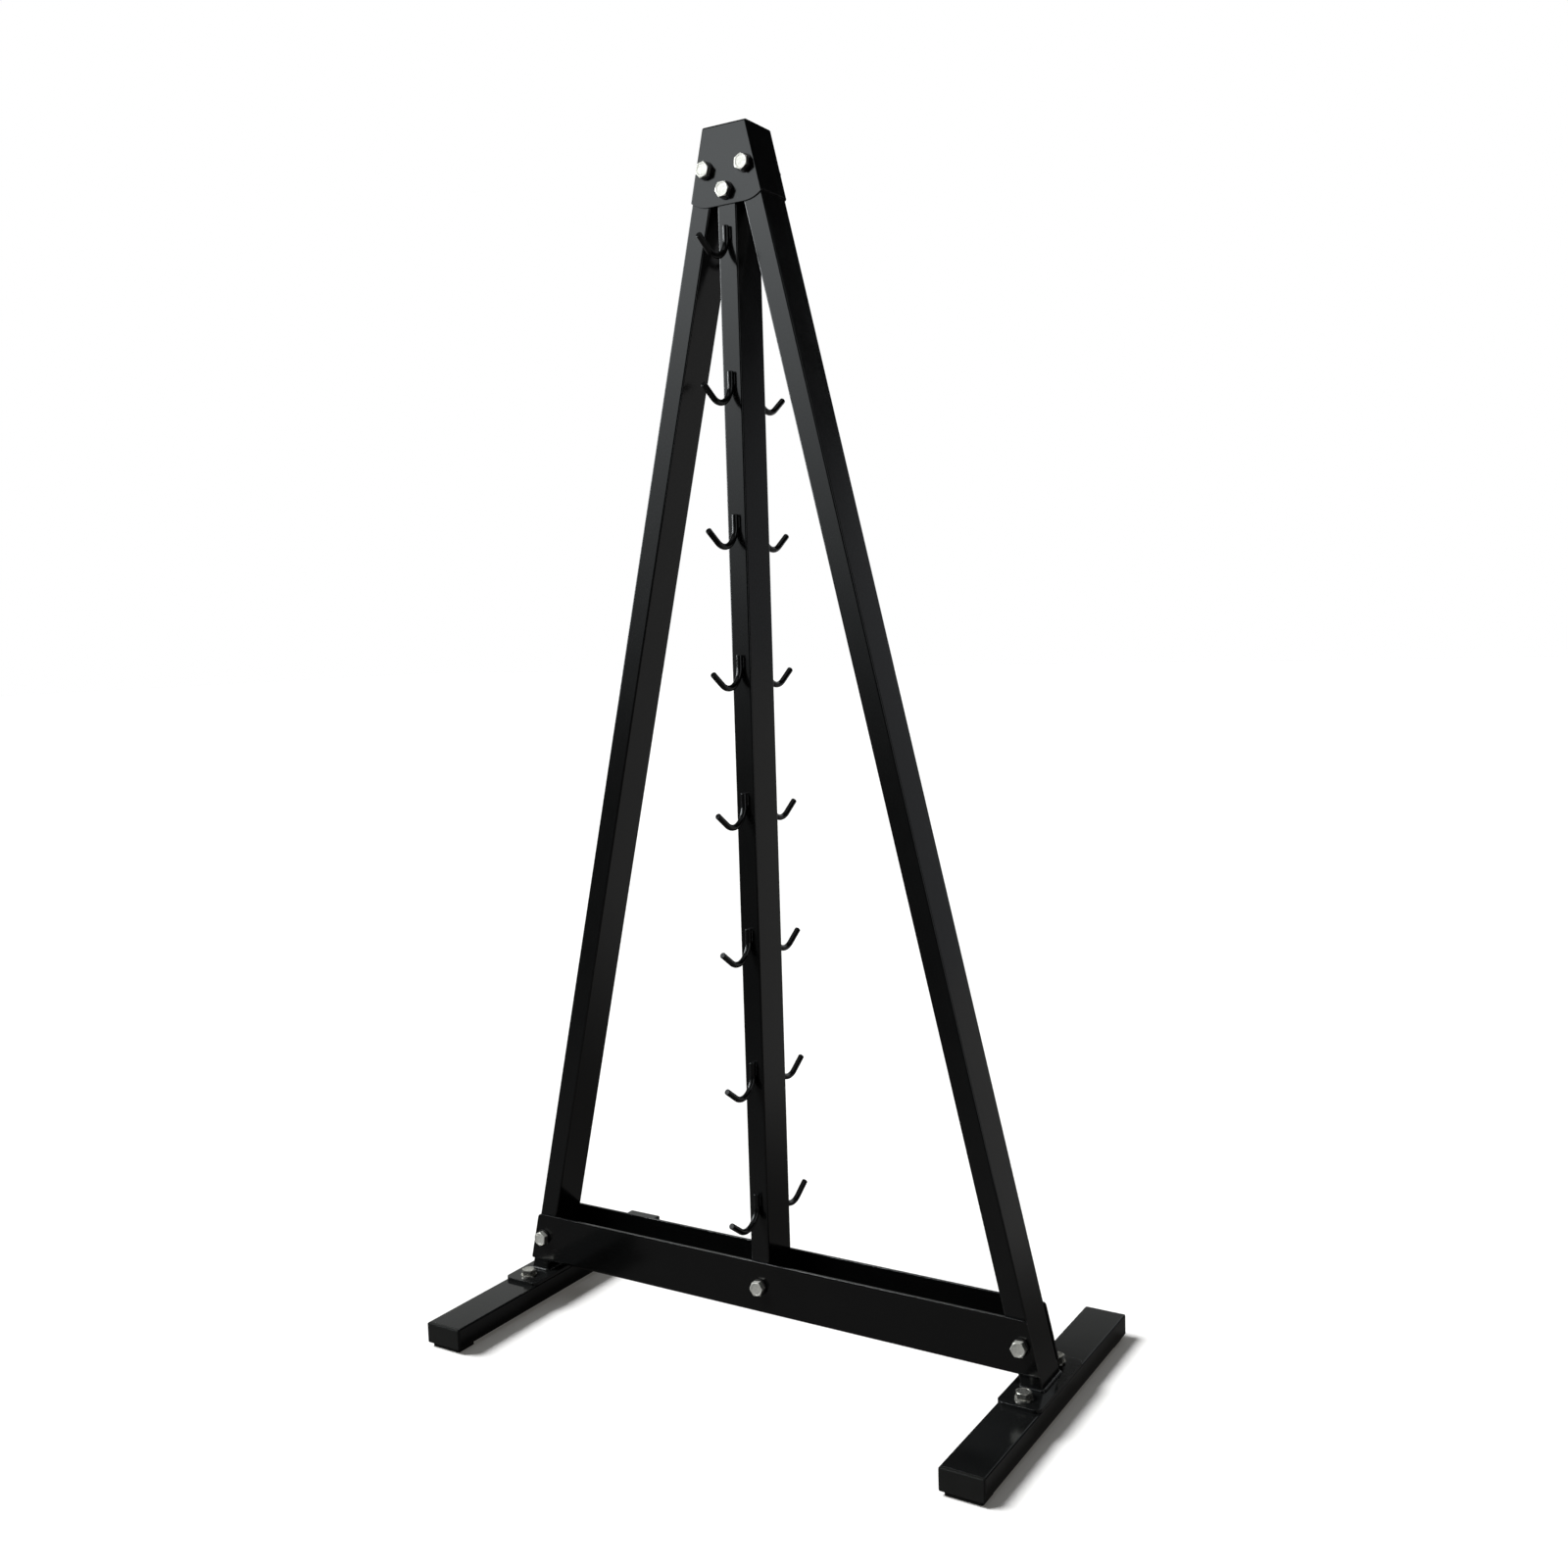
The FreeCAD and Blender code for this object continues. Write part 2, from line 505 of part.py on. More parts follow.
def make_hook(label, step, turn):
    """Round bar bent into a J: a stem on the upright's face, a bend and a rising tip.

    The hook's own origin is on the upright's axis, level with the bend's lowest centre-line point.
    """
    body = new_body(label)
    stem_out = "(Dims.tube_depth + Dims.hook_rod) / 2"
    stem_y, rise = number(f"-{stem_out}"), number("Dims.hook_rise")
    radius, stem, tip, rod = (number(f"Dims.hook_{name}")
                              for name in ("bend", "stem", "tip", "rod"))
    centre = Vector(stem_y - radius, radius, 0)
    turned = math.radians(90 + rise)
    bend_curve = Part.ArcOfCircle(Part.Circle(centre, Z_AXIS, radius), -turned, 0)
    start = bend_curve.StartPoint
    end = start + FreeCAD.Rotation(Z_AXIS, 180 - rise).multVec(X_AXIS) * tip

    path = new_sketch(body, f"{label}_path", "YZ_Plane")
    upright = path.addGeometry(
        Part.LineSegment(Vector(stem_y, stem, 0), Vector(stem_y, radius, 0)))
    bend = path.addGeometry(bend_curve)
    arm = path.addGeometry(Part.LineSegment(start, end))
    path.addConstraint([
        Sketcher.Constraint("Vertical", upright),
        Sketcher.Constraint("Tangent", upright, 2, bend, 2),
        Sketcher.Constraint("Tangent", bend, 1, arm, 1),
    ])
    add_constraint(path, "stem_out", stem_out, "DistanceX", upright, 2, -1, 1, -stem_y)
    add_constraint(path, "stem_top", "Dims.hook_stem", "DistanceY", -1, 1, upright, 1, stem)
    add_constraint(path, "bend_radius", "Dims.hook_bend", "Radius", bend, radius)
    add_constraint(path, "bend_level", "Dims.hook_bend", "DistanceY", -1, 1, bend, 3, radius)
    add_constraint(path, "tip_length", "Dims.hook_tip", "Distance", arm, tip)
    add_constraint(path, "bend_turn", "(90 + Dims.hook_rise) * 1 deg", "Angle", bend, turned)

    bar = new_sketch(body, f"{label}_bar", "XY_Plane", out="Dims.hook_stem")
    circle = bar.addGeometry(Part.Circle(Vector(0, stem_y, 0), Z_AXIS, rod / 2))
    bar.addConstraint(Sketcher.Constraint("PointOnObject", circle, 3, -2))
    add_constraint(bar, "rod", "Dims.hook_rod", "Diameter", circle, rod)
    add_constraint(bar, "stem_out", stem_out, "DistanceY", circle, 3, -1, 1, -stem_y)

    pipe = body.newObject("PartDesign::AdditivePipe", f"{label}_bent_bar")
    pipe.Profile = bar
    pipe.Spine = path
    body.Tip = pipe
    cut_ends = (Vector(0, stem_y, stem), Vector(0, end.x, end.y))
    round_edges(body, f"{label}_ends", "Dims.hook_edge",
                lambda edge: is_cut_end(edge, rod / 2, cut_ends))
    place(body, z=f"Dims.hook_highest - {step} * Dims.hook_pitch", turn=turn)
    return body


def is_cut_end(edge, radius, ends):
    """True for the round edge of the bar at one of its two cut ends."""
    if not isinstance(edge.Curve, Part.Circle):
        return False
    centre = edge.Curve.Center
    return any(centre.distanceToPoint(end) < radius / 2 for end in ends)


# ---------------------------------------------------------------- fasteners

def make_hexagon(name, tall, double_chamfer):
    """Hexagon across the given flats with the corners of its end faces turned off."""
    prism = doc.addObject("Part::Prism", f"{name}_prism")
    prism.Polygon = 6
    prism.setExpression("Circumradius", "Dims.bolt_flats / 2 / cos(30 deg)")
    prism.setExpression("Height", tall)
    top = make_chamfer_cone(f"{name}_top_cone", tall)
    shapes = [prism, top]
    if double_chamfer:
        bottom = make_chamfer_cone(f"{name}_bottom_cone", tall)
        bottom.Placement.Rotation = FreeCAD.Rotation(X_AXIS, 180)
        bottom.setExpression("Placement.Base.z", tall)
        shapes.append(bottom)
    hexagon = doc.addObject("Part::MultiCommon", f"{name}_hexagon")
    hexagon.Shapes = shapes
    return hexagon


def make_chamfer_cone(name, tall):
    """Cone that takes the corners off a hexagon's upper face at 30 degrees."""
    cone = doc.addObject("Part::Cone", name)
    crown = "Dims.hex_crown * Dims.bolt_flats / 2"
    cone.setExpression("Radius2", crown)
    cone.setExpression("Radius1", f"{crown} + tan(60 deg) * ({tall})")
    cone.setExpression("Height", tall)
    return cone


def make_cylinder(name, diameter, tall, bottom="0"):
    cylinder = doc.addObject("Part::Cylinder", name)
    cylinder.setExpression("Radius", f"({diameter}) / 2")
    cylinder.setExpression("Height", tall)
    cylinder.setExpression("Placement.Base.z", bottom)
    return cylinder


def make_bolt(name, length):
    """Hex bolt; origin under the head, head along +Z, shank along -Z."""
    head = make_hexagon(name, "Dims.bolt_head", double_chamfer=False)
    straight = f"({length} - Dims.bolt_chamfer)"
    shank = make_cylinder(f"{name}_shank", "Dims.bolt_shank", straight, f"-{straight}")
    end = doc.addObject("Part::Cone", f"{name}_end")
    end.setExpression("Radius1", "Dims.bolt_shank / 2 - Dims.bolt_chamfer")
    end.setExpression("Radius2", "Dims.bolt_shank / 2")
    end.setExpression("Height", "Dims.bolt_chamfer")
    end.setExpression("Placement.Base.z", f"-({length})")
    bolt = doc.addObject("Part::MultiFuse", name)
    bolt.Shapes = [head, shank, end]
    bolt.Refine = True
    return bolt


def make_washer(name):
    """Flat washer lying on the XY plane."""
    washer = doc.addObject("Part::Cut", name)
    washer.Base = make_cylinder(f"{name}_disc", "Dims.washer_outer", "Dims.washer_thick")
    washer.Tool = make_cylinder(f"{name}_bore", "Dims.washer_bore", "3 * Dims.washer_thick",
                                "-Dims.washer_thick")
    return washer


def make_nut(name):
    """Hex nut standing on the XY plane, chamfered at both ends."""
    nut = doc.addObject("Part::Cut", name)
    nut.Base = make_hexagon(name, "Dims.nut_tall", double_chamfer=True)
    nut.Tool = make_cylinder(f"{name}_bore", "Dims.nut_bore", "3 * Dims.nut_tall",
                             "-Dims.nut_tall")
    return nut


def make_group(label, source, seats):
    """One node of identical fasteners, each linked to one source piece and put on its seat.

    A seat is (rotation, turn about the fastener's own axis, x, y, z) with x, y, z as expressions.
    """
    copies = []
    for index, (rotation, turn, *position) in enumerate(seats, start=1):
        copy = doc.addObject("App::Link", f"{label}_{index}")
        copy.LinkedObject = source
        spin = FreeCAD.Rotation(Z_AXIS, turn)
        copy.Placement = FreeCAD.Placement(Vector(), rotation.multiply(spin))
        for axis, expression in zip("xyz", position):
            copy.setExpression(f"Placement.Base.{axis}", expression)
        copies.append(copy)
    group = doc.addObject("Part::Compound", label)
    group.Label = label
    group.Links = copies
    return group


UPWARD = FreeCAD.Rotation()
FORWARD = FreeCAD.Rotation(X_AXIS, 90)
BACKWARD = FreeCAD.Rotation(X_AXIS, -90)


def make_through_bolts(prefix, sheet_thick, places, turns):
    """Bolts from front to back through a tube and the sheets on it, with washers and nuts."""
    face = f"(Dims.tube_depth / 2 + {sheet_thick})"
    under_head = f"({face} + Dims.washer_thick)"
    length = f"(2 * {under_head} + Dims.nut_tall + Dims.bolt_end)"
    bolt = make_bolt(f"{prefix}_bolt", length)
    washer = make_washer(f"{prefix}_washer")
    nut = make_nut(f"{prefix}_nut")
    bolts = [(FORWARD, turn, x, f"-{under_head}", z) for (x, z), turn in zip(places, turns)]
    nuts = [(BACKWARD, 2 * turn, x, under_head, z) for (x, z), turn in zip(places, turns)]
    washers = [(FORWARD, 0, x, f"-{face}", z) for x, z in places]
    washers += [(BACKWARD, 0, x, face, z) for x, z in places]
    return [make_group(f"{prefix}_bolts", bolt, bolts),
            make_group(f"{prefix}_washers", washer, washers),
            make_group(f"{prefix}_nuts", nut, nuts)]


def make_foot_fasteners():
    """Bolts down through the leg plates into nuts welded inside the feet."""
    bolt = make_bolt("foot_bolt", "Dims.foot_bolt_length")
    washer = make_washer("foot_washer")
    nut = make_nut("foot_nut")
    places = [(f"{side} * {LEG_FOOT_X}", f"{reach} * Dims.plate_bolt")
              for side in (-1, 1) for reach in (-1, 1)]
    under_head = f"{PLATE_TOP} + Dims.washer_thick"
    nut_foot = f"{FOOT_TOP} - Dims.tube_wall - Dims.nut_tall"
    bolts = [(UPWARD, turn, x, y, under_head) for (x, y), turn in zip(places, FOOT_TURNS)]
    washers = [(UPWARD, 0, x, y, PLATE_TOP) for x, y in places]
    nuts = [(UPWARD, turn, x, y, nut_foot) for (x, y), turn in zip(places, FOOT_TURNS)]
    return [make_group("foot_bolts", bolt, bolts),
            make_group("foot_washers", washer, washers),
            make_group("foot_weld_nuts", nut, nuts)]


# ---------------------------------------------------------------- the rack

pieces = [
    make_leg("left_leg", LEFT),
    make_leg("right_leg", RIGHT),
    make_post(),
    make_crossbeam(),
    make_hood(),
]
for side_name, side in (("left", -1), ("right", 1)):
    pieces.append(make_leg_plate(f"{side_name}_leg_plate", side))
    pieces.append(make_foot(f"{side_name}_foot", side))
    for end_name, turn in (("front", FRONT), ("rear", REAR)):
        pieces.append(make_end_cap(f"{side_name}_{end_name}_end_cap", side, turn))
        pieces.append(make_pad(f"{side_name}_{end_name}_pad", side, turn))
for face_name, turn in (("front", FRONT), ("rear", REAR)):
    for step in range(HOOKS_PER_FACE):
        pieces.append(make_hook(f"{face_name}_hook_{step + 1}", step, turn))

hood_places = [(f"-{HOOD_BOLT_X}", "Dims.hood_leg_bolt"), (HOOD_BOLT_X, "Dims.hood_leg_bolt"),
               ("0", "Dims.hood_post_bolt")]
beam_places = [(f"-{BEAM_BOLT_X}", "Dims.beam_bolt"), ("0", "Dims.beam_bolt"),
               (BEAM_BOLT_X, "Dims.beam_bolt")]
pieces += make_through_bolts("hood", "Dims.hood_sheet", hood_places, HOOD_TURNS)
pieces += make_through_bolts("beam", "Dims.beam_sheet", beam_places, BEAM_TURNS)
pieces += make_foot_fasteners()

doc.recompute()

for item in doc.Objects:
    faults = {"Invalid", "Error"}.intersection(item.State)
    if faults:
        raise RuntimeError(f"{item.Label} did not compute: {faults}")
for piece in pieces:
    if piece.Shape.isNull() or not piece.Shape.isValid() or piece.Shape.Volume <= 0:
        raise RuntimeError(f"{piece.Label} has no valid solid")

os.makedirs("parts", exist_ok=True)
for piece in pieces:
    piece.Shape.exportStep(os.path.join("parts", f"{piece.Label}.step"))
    box = piece.Shape.BoundBox
    print(f"{piece.Label}: {len(piece.Shape.Solids)} solid(s), {piece.Shape.Volume / 1000:.1f} cm3, "
          f"X {box.XMin:.1f}..{box.XMax:.1f} Y {box.YMin:.1f}..{box.YMax:.1f} "
          f"Z {box.ZMin:.1f}..{box.ZMax:.1f}")
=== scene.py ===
import math
import random

import bmesh
import bpy
from mathutils import Matrix, Vector


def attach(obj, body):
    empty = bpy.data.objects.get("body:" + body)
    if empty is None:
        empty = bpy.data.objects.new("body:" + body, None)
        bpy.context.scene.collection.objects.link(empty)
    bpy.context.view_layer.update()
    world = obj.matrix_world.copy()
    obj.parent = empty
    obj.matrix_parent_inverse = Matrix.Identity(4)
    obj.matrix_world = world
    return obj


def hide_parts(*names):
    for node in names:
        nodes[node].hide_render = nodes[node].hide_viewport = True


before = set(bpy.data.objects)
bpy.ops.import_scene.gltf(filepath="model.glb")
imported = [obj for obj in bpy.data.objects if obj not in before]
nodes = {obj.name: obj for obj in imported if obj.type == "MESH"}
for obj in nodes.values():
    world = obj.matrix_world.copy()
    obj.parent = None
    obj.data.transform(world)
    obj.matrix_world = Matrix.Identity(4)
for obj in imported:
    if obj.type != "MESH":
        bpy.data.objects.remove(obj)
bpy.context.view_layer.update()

# The looks of an A-frame hook rack: black powder-coated steel tube and sheet, zinc-plated bolts,
# black washers, plastic end caps and rubber pads. Metres, in the CAD frame: origin on the floor
# between the feet, X along the crossbeam, -Y to the front, +Z up.

# ---------------------------------------------------------------- sizes shared with the CAD part

LEG_SPREAD, LEG_SLOPE = 0.350, 0.238       # centre line at floor level, and how much it leans in
TUBE_DEPTH, TUBE_WIDTH, TUBE_CORNER = 0.050, 0.025, 0.002
PLATE_TOP, PLATE_BOLT = 0.034, 0.047       # leg plate's top face, and its bolts from the middle
HOOD_SHEET, BEAM_SHEET = 0.0015, 0.003
HOOD_LEG_BOLT, HOOD_POST_BOLT, BEAM_BOLT = 1.363, 1.338, 0.080      # heights of the bolts
FLATS, HEAD_TALL, NUT_TALL = 0.016, 0.0064, 0.0084
SHANK_RADIUS, BOLT_END = 0.005, 0.003      # BOLT_END is how far a bolt stands out of its nut
FOOT_BOLT_LENGTH = 0.020
WASHER_THICK = 0.002
HOOK_COUNT, HOOK_HIGHEST, HOOK_PITCH = 8, 1.263, 0.158
HOOK_ROD, HOOK_BEND, HOOK_STEM = 0.007, 0.023, 0.037

# Turn of each hex head about its own axis, in degrees: no two were tightened alike.
HOOD_TURNS = (12, 30, 2)
BEAM_TURNS = (27, 8, 3)
FOOT_TURNS = (20, 50, 5, 38)


def leg_x(z):
    """Distance of a leg's centre line from the middle at a height."""
    return LEG_SPREAD - LEG_SLOPE * z


# ---------------------------------------------------------------- node helpers

def add_node(tree, kind, inputs=None, **settings):
    """New node; an input is given a number, a colour or another node's output."""
    made = tree.nodes.new(kind)
    for key, value in settings.items():
        setattr(made, key, value)
    for key, value in (inputs or {}).items():
        if isinstance(value, bpy.types.NodeSocket):
            tree.links.new(value, made.inputs[key])
        else:
            made.inputs[key].default_value = value
    return made


def math_of(tree, operation, first, second):
    """Result of an operation on two values, each a number or another node's output."""
    return add_node(tree, "ShaderNodeMath", {0: first, 1: second}, operation=operation).outputs[0]


def spread(tree, value, low, high, to_low, to_high, smooth=False):
    """Value mapped from low..high to to_low..to_high, and held at the ends."""
    return add_node(tree, "ShaderNodeMapRange",
                    {"Value": value, "From Min": low, "From Max": high, "To Min": to_low,
                     "To Max": to_high},
                    interpolation_type="SMOOTHSTEP" if smooth else "LINEAR").outputs["Result"]


def cloud(tree, where, scale, detail=2.0, roughness=0.5, distortion=0.0):
    """Noise from 0 to 1 with features of about 1 / scale metres."""
    return add_node(tree, "ShaderNodeTexNoise",
                    {"Vector": where, "Scale": scale, "Detail": detail, "Roughness": roughness,
                     "Distortion": distortion}).outputs["Fac"]


def new_material(name, **sockets):
    """Material whose shader has the given constant sockets; returns it, its tree and shader."""
    material = bpy.data.materials.new(name)
    material.use_nodes = True
    tree = material.node_tree
    tree.nodes.clear()
    shader = add_node(tree, "ShaderNodeBsdfPrincipled")
    for key, value in sockets.items():
        shader.inputs[key.replace("_", " ")].default_value = value
    output = add_node(tree, "ShaderNodeOutputMaterial")
    tree.links.new(shader.outputs[0], output.inputs["Surface"])
    return material, tree, shader


def link_finish(tree, shader, colour, roughness, normal):
    """Join up what varies over the surface in every finish."""
    tree.links.new(colour, shader.inputs["Base Color"])
    tree.links.new(roughness, shader.inputs["Roughness"])
    tree.links.new(normal, shader.inputs["Normal"])


def object_place(tree):
    """Place on the surface in the object's own metres."""
    return add_node(tree, "ShaderNodeTexCoord").outputs["Object"]


def blend_colours(tree, amount, first, second):
    """Colour between two, each a colour or another node's output."""
    mix = add_node(tree, "ShaderNodeMix", data_type="RGBA")
    tree.links.new(amount, mix.inputs["Factor"])
    for socket, value in ((mix.inputs[6], first), (mix.inputs[7], second)):
        if isinstance(value, bpy.types.NodeSocket):
            tree.links.new(value, socket)
        else:
            socket.default_value = (*value, 1.0)
    return mix.outputs[2]


def bumped(tree, layers, normal=None):
    """Normal from (height, distance, strength) layers, one on top of the other."""
    for height, distance, strength in layers:
        inputs = {"Height": height, "Distance": distance, "Strength": strength}
        if normal:
            inputs["Normal"] = normal
        normal = add_node(tree, "ShaderNodeBump", inputs).outputs[0]
    return normal


def soft_edges(tree, radius):
    """Normal that turns smoothly over sharp edges, as a coat does that flows round them."""
    return add_node(tree, "ShaderNodeBevel", {"Radius": radius}, samples=4).outputs[0]


def edge_mask(tree, rounded):
    """0 on flat and gently curved surfaces, 1 where the rounded normal leaves the surface's."""
    plain = add_node(tree, "ShaderNodeNewGeometry").outputs["Normal"]
    dot = add_node(tree, "ShaderNodeVectorMath", {0: plain, 1: rounded}, operation="DOT_PRODUCT")
    apart = math_of(tree, "SUBTRACT", 1.0, dot.outputs["Value"])
    return spread(tree, apart, 0.02, 0.20, 0.0, 1.0)


# ---------------------------------------------------------------- materials

def make_powder_coat():
    """Black satin powder coat: orange peel, fine grain, faint mottling, thin on the edges."""
    material, tree, shader = new_material("satin_powder_coat", IOR=1.5)
    where = object_place(tree)
    mottle = cloud(tree, where, 22.0, detail=4.0, roughness=0.6)
    peel = cloud(tree, where, 380.0, detail=1.0)
    grain = cloud(tree, where, 1500.0)
    flecks = cloud(tree, where, 160.0, detail=5.0, roughness=0.7)
    rounded = soft_edges(tree, 0.0008)
    worn = math_of(tree, "MULTIPLY", edge_mask(tree, rounded),
                   spread(tree, flecks, 0.50, 0.68, 0.0, 0.5))
    coat = blend_colours(tree, mottle, (0.0014, 0.0015, 0.0016), (0.0030, 0.0030, 0.0029))
    colour = blend_colours(tree, worn, coat, (0.030, 0.030, 0.031))
    roughness = math_of(tree, "ADD", spread(tree, mottle, 0.3, 0.7, 0.125, 0.160),
                        spread(tree, grain, 0.3, 0.7, -0.02, 0.03))
    normal = bumped(tree, ((peel, 0.00004, 0.35), (grain, 0.00001, 0.4)), rounded)
    link_finish(tree, shader, colour, roughness, normal)
    return material


def make_zinc(name, smoothest, roughest, metallic):
    """Bright zinc plating: cloudy grey-white, faintly scratched, duller in patches."""
    material, tree, shader = new_material(name, Metallic=metallic)
    where = object_place(tree)
    patches = cloud(tree, where, 320.0, detail=4.0, roughness=0.65)
    hue = cloud(tree, where, 120.0, detail=1.0)
    stretched = add_node(tree, "ShaderNodeMapping", {"Vector": where, "Scale": (1.0, 1.0, 9.0)})
    scratches = cloud(tree, stretched.outputs[0], 700.0, detail=3.0, distortion=0.6)
    plate = blend_colours(tree, hue, (0.66, 0.64, 0.59), (0.72, 0.70, 0.63))
    colour = blend_colours(tree, spread(tree, patches, 0.35, 0.75, 0.0, 0.55), plate,
                           (0.32, 0.31, 0.29))
    roughness = spread(tree, patches, 0.3, 0.7, smoothest, roughest)
    normal = bumped(tree, ((patches, 0.00005, 0.5), (scratches, 0.00002, 0.6)))
    link_finish(tree, shader, colour, roughness, normal)
    return material


def make_black_steel():
    """Blackened steel washers: dark, a little brown where the finish is thin."""
    material, tree, shader = new_material("blackened_steel", Metallic=0.6)
    patches = cloud(tree, object_place(tree), 260.0, detail=4.0, roughness=0.6)
    colour = blend_colours(tree, patches, (0.010, 0.010, 0.011), (0.026, 0.024, 0.022))
    roughness = spread(tree, patches, 0.3, 0.7, 0.34, 0.48)
    link_finish(tree, shader, colour, roughness, bumped(tree, ((patches, 0.00005, 0.5),)))
    return material


def make_cap_plastic():
    """Moulded black polyethylene with a fine spark-eroded grain."""
    material, tree, shader = new_material("cap_plastic", IOR=1.5)
    where = object_place(tree)
    grain = add_node(tree, "ShaderNodeTexVoronoi", {"Vector": where, "Scale": 1300.0},
                     feature="SMOOTH_F1").outputs["Distance"]
    flow = cloud(tree, where, 60.0, detail=3.0)
    colour = blend_colours(tree, flow, (0.0040, 0.0040, 0.0037), (0.0080, 0.0080, 0.0074))
    roughness = spread(tree, flow, 0.3, 0.7, 0.40, 0.50)
    link_finish(tree, shader, colour, roughness, bumped(tree, ((grain, 0.00004, 0.45),)))
    return material


def make_rubber():
    """Dull black rubber, dusty and slightly pitted."""
    material, tree, shader = new_material("pad_rubber", IOR=1.5)
    where = object_place(tree)
    dust = cloud(tree, where, 90.0, detail=6.0, roughness=0.7)
    pits = cloud(tree, where, 900.0)
    colour = blend_colours(tree, dust, (0.012, 0.012, 0.012), (0.030, 0.029, 0.027))
    roughness = spread(tree, dust, 0.3, 0.7, 0.70, 0.85)
    link_finish(tree, shader, colour, roughness, bumped(tree, ((pits, 0.0001, 0.5),)))
    return material


powder_coat = make_powder_coat()
zinc = make_zinc("zinc_plate", smoothest=0.32, roughest=0.46, metallic=0.75)
fresh_zinc = make_zinc("fresh_zinc_plate", smoothest=0.15, roughest=0.24, metallic=0.90)
black_steel = make_black_steel()
cap_plastic = make_cap_plastic()
rubber = make_rubber()

# ---------------------------------------------------------------- finish of the CAD nodes


def finish_of(name):
    """Material of a CAD node."""
    if name.endswith("_end_cap"):
        return cap_plastic
    if name.endswith("_pad"):
        return rubber
    if name in ("hood_washers", "beam_washers"):
        return black_steel
    if name in ("foot_bolts", "foot_washers", "foot_weld_nuts"):
        return fresh_zinc
    if name in ("hood_bolts", "hood_nuts", "beam_bolts", "beam_nuts"):
        return zinc
    return powder_coat


for name, piece in nodes.items():
    piece.data.materials.clear()
    piece.data.materials.append(finish_of(name))


# ---------------------------------------------------------------- mesh helpers

def add_piece(name, mesh, material):
    """Object that rides on the rack, with the finish it is given."""
    mesh.materials.append(material)
    piece = bpy.data.objects.new(name, mesh)
    bpy.context.scene.collection.objects.link(piece)
    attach(piece, "root")
    return piece


def skin_rings(bm, rings, close_ends=True):
    """Faces between successive rings of vertices, each ring closed on itself."""
    faces = []
    for low, high in zip(rings, rings[1:]):
        for index in range(len(low)):
            following = (index + 1) % len(low)
            faces.append(bm.faces.new((low[index], low[following], high[following], high[index])))
    if close_ends:
        faces.append(bm.faces.new(reversed(rings[0])))
        faces.append(bm.faces.new(rings[-1]))
    return faces


# ---------------------------------------------------------------- bolts

HEX_STEPS = 72
CROWN = 0.95 * FLATS / 2                   # radius of a head's flat face
CHAMFER_SLOPE = math.tan(math.radians(20))
DISH_RIM, DISH_DEPTH = 0.00025, 0.00030    # the face is pressed in, a little more at its middle
THREAD_LENGTH, THREAD_PITCH, THREAD_DEPTH = 0.015, 0.0015, 0.00085
THREAD_STEPS, ROWS_PER_PITCH = 36, 4
CREST = 1.15                               # above 1, so the ridges have flat tops
END_CHAMFER = 0.001


def hex_radius(angle):
    """Distance from the axis to the hexagon's side; a corner lies at angle 0."""
    within = (angle + math.pi / 6) % (math.pi / 3) - math.pi / 6
    return FLATS / 2 / math.cos(math.pi / 6 - abs(within))


def add_head(bm, place):
    """Hex head with a turned chamfer, a crown face and a shallow dish in it."""
    angles = [2 * math.pi * step / HEX_STEPS for step in range(HEX_STEPS)]

    def ring(radius_of, height_of):
        return [bm.verts.new(place @ Vector((radius_of(a) * math.cos(a),
                                             radius_of(a) * math.sin(a), height_of(a))))
                for a in angles]

    rings = [
        ring(hex_radius, lambda a: 0.0),
        ring(hex_radius, lambda a: HEAD_TALL - (hex_radius(a) - CROWN) * CHAMFER_SLOPE),
        ring(lambda a: CROWN, lambda a: HEAD_TALL),
        ring(lambda a: 0.86 * CROWN, lambda a: HEAD_TALL),
        ring(lambda a: 0.80 * CROWN, lambda a: HEAD_TALL - DISH_RIM),
        ring(lambda a: 0.30 * CROWN, lambda a: HEAD_TALL - DISH_DEPTH),
    ]
    for face in skin_rings(bm, rings):
        face.smooth = False


def add_shank(bm, place, length):
    """Shank under the head: plain, then a helical thread, then a chamfered end."""
    minor = SHANK_RADIUS - THREAD_DEPTH
    plain_end = THREAD_LENGTH - length

    def thread_radius(level, step):
        phase = (level / THREAD_PITCH + step / THREAD_STEPS) % 1.0
        ridge = 1.0 - abs(2.0 * phase - 1.0)
        taper = SHANK_RADIUS - END_CHAMFER + (level + length)
        return min(minor + THREAD_DEPTH * min(1.0, CREST * ridge), max(minor, taper))

    rows = round(THREAD_LENGTH / THREAD_PITCH) * ROWS_PER_PITCH
    levels = [plain_end - THREAD_LENGTH * row / rows for row in range(1, rows + 1)]
    outlines = [(z, [SHANK_RADIUS] * THREAD_STEPS) for z in (0.0, plain_end)]
    outlines += [(z, [thread_radius(z, step) for step in range(THREAD_STEPS)]) for z in levels]
    rings = []
    for z, radii in outlines:
        turns = [2 * math.pi * step / THREAD_STEPS for step in range(THREAD_STEPS)]
        rings.append([bm.verts.new(place @ Vector((radius * math.cos(turn),
                                                   radius * math.sin(turn), z)))
                      for radius, turn in zip(radii, turns)])
    rings.reverse()
    for face in skin_rings(bm, rings):
        face.smooth = len(face.verts) == 4


def make_bolts(name, node, seats, length, finish):
    """One piece of equal bolts; a seat is the matrix that puts a bolt under its head."""
    bm = bmesh.new()
    for place in seats:
        add_head(bm, place)
        add_shank(bm, place, length)
    mesh = bpy.data.meshes.new(name)
    bm.normal_update()
    bm.to_mesh(mesh)
    bm.free()
    piece = add_piece(name, mesh, finish)
    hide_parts(node)
    return piece


FORWARD = Matrix.Rotation(math.radians(90), 4, "X")


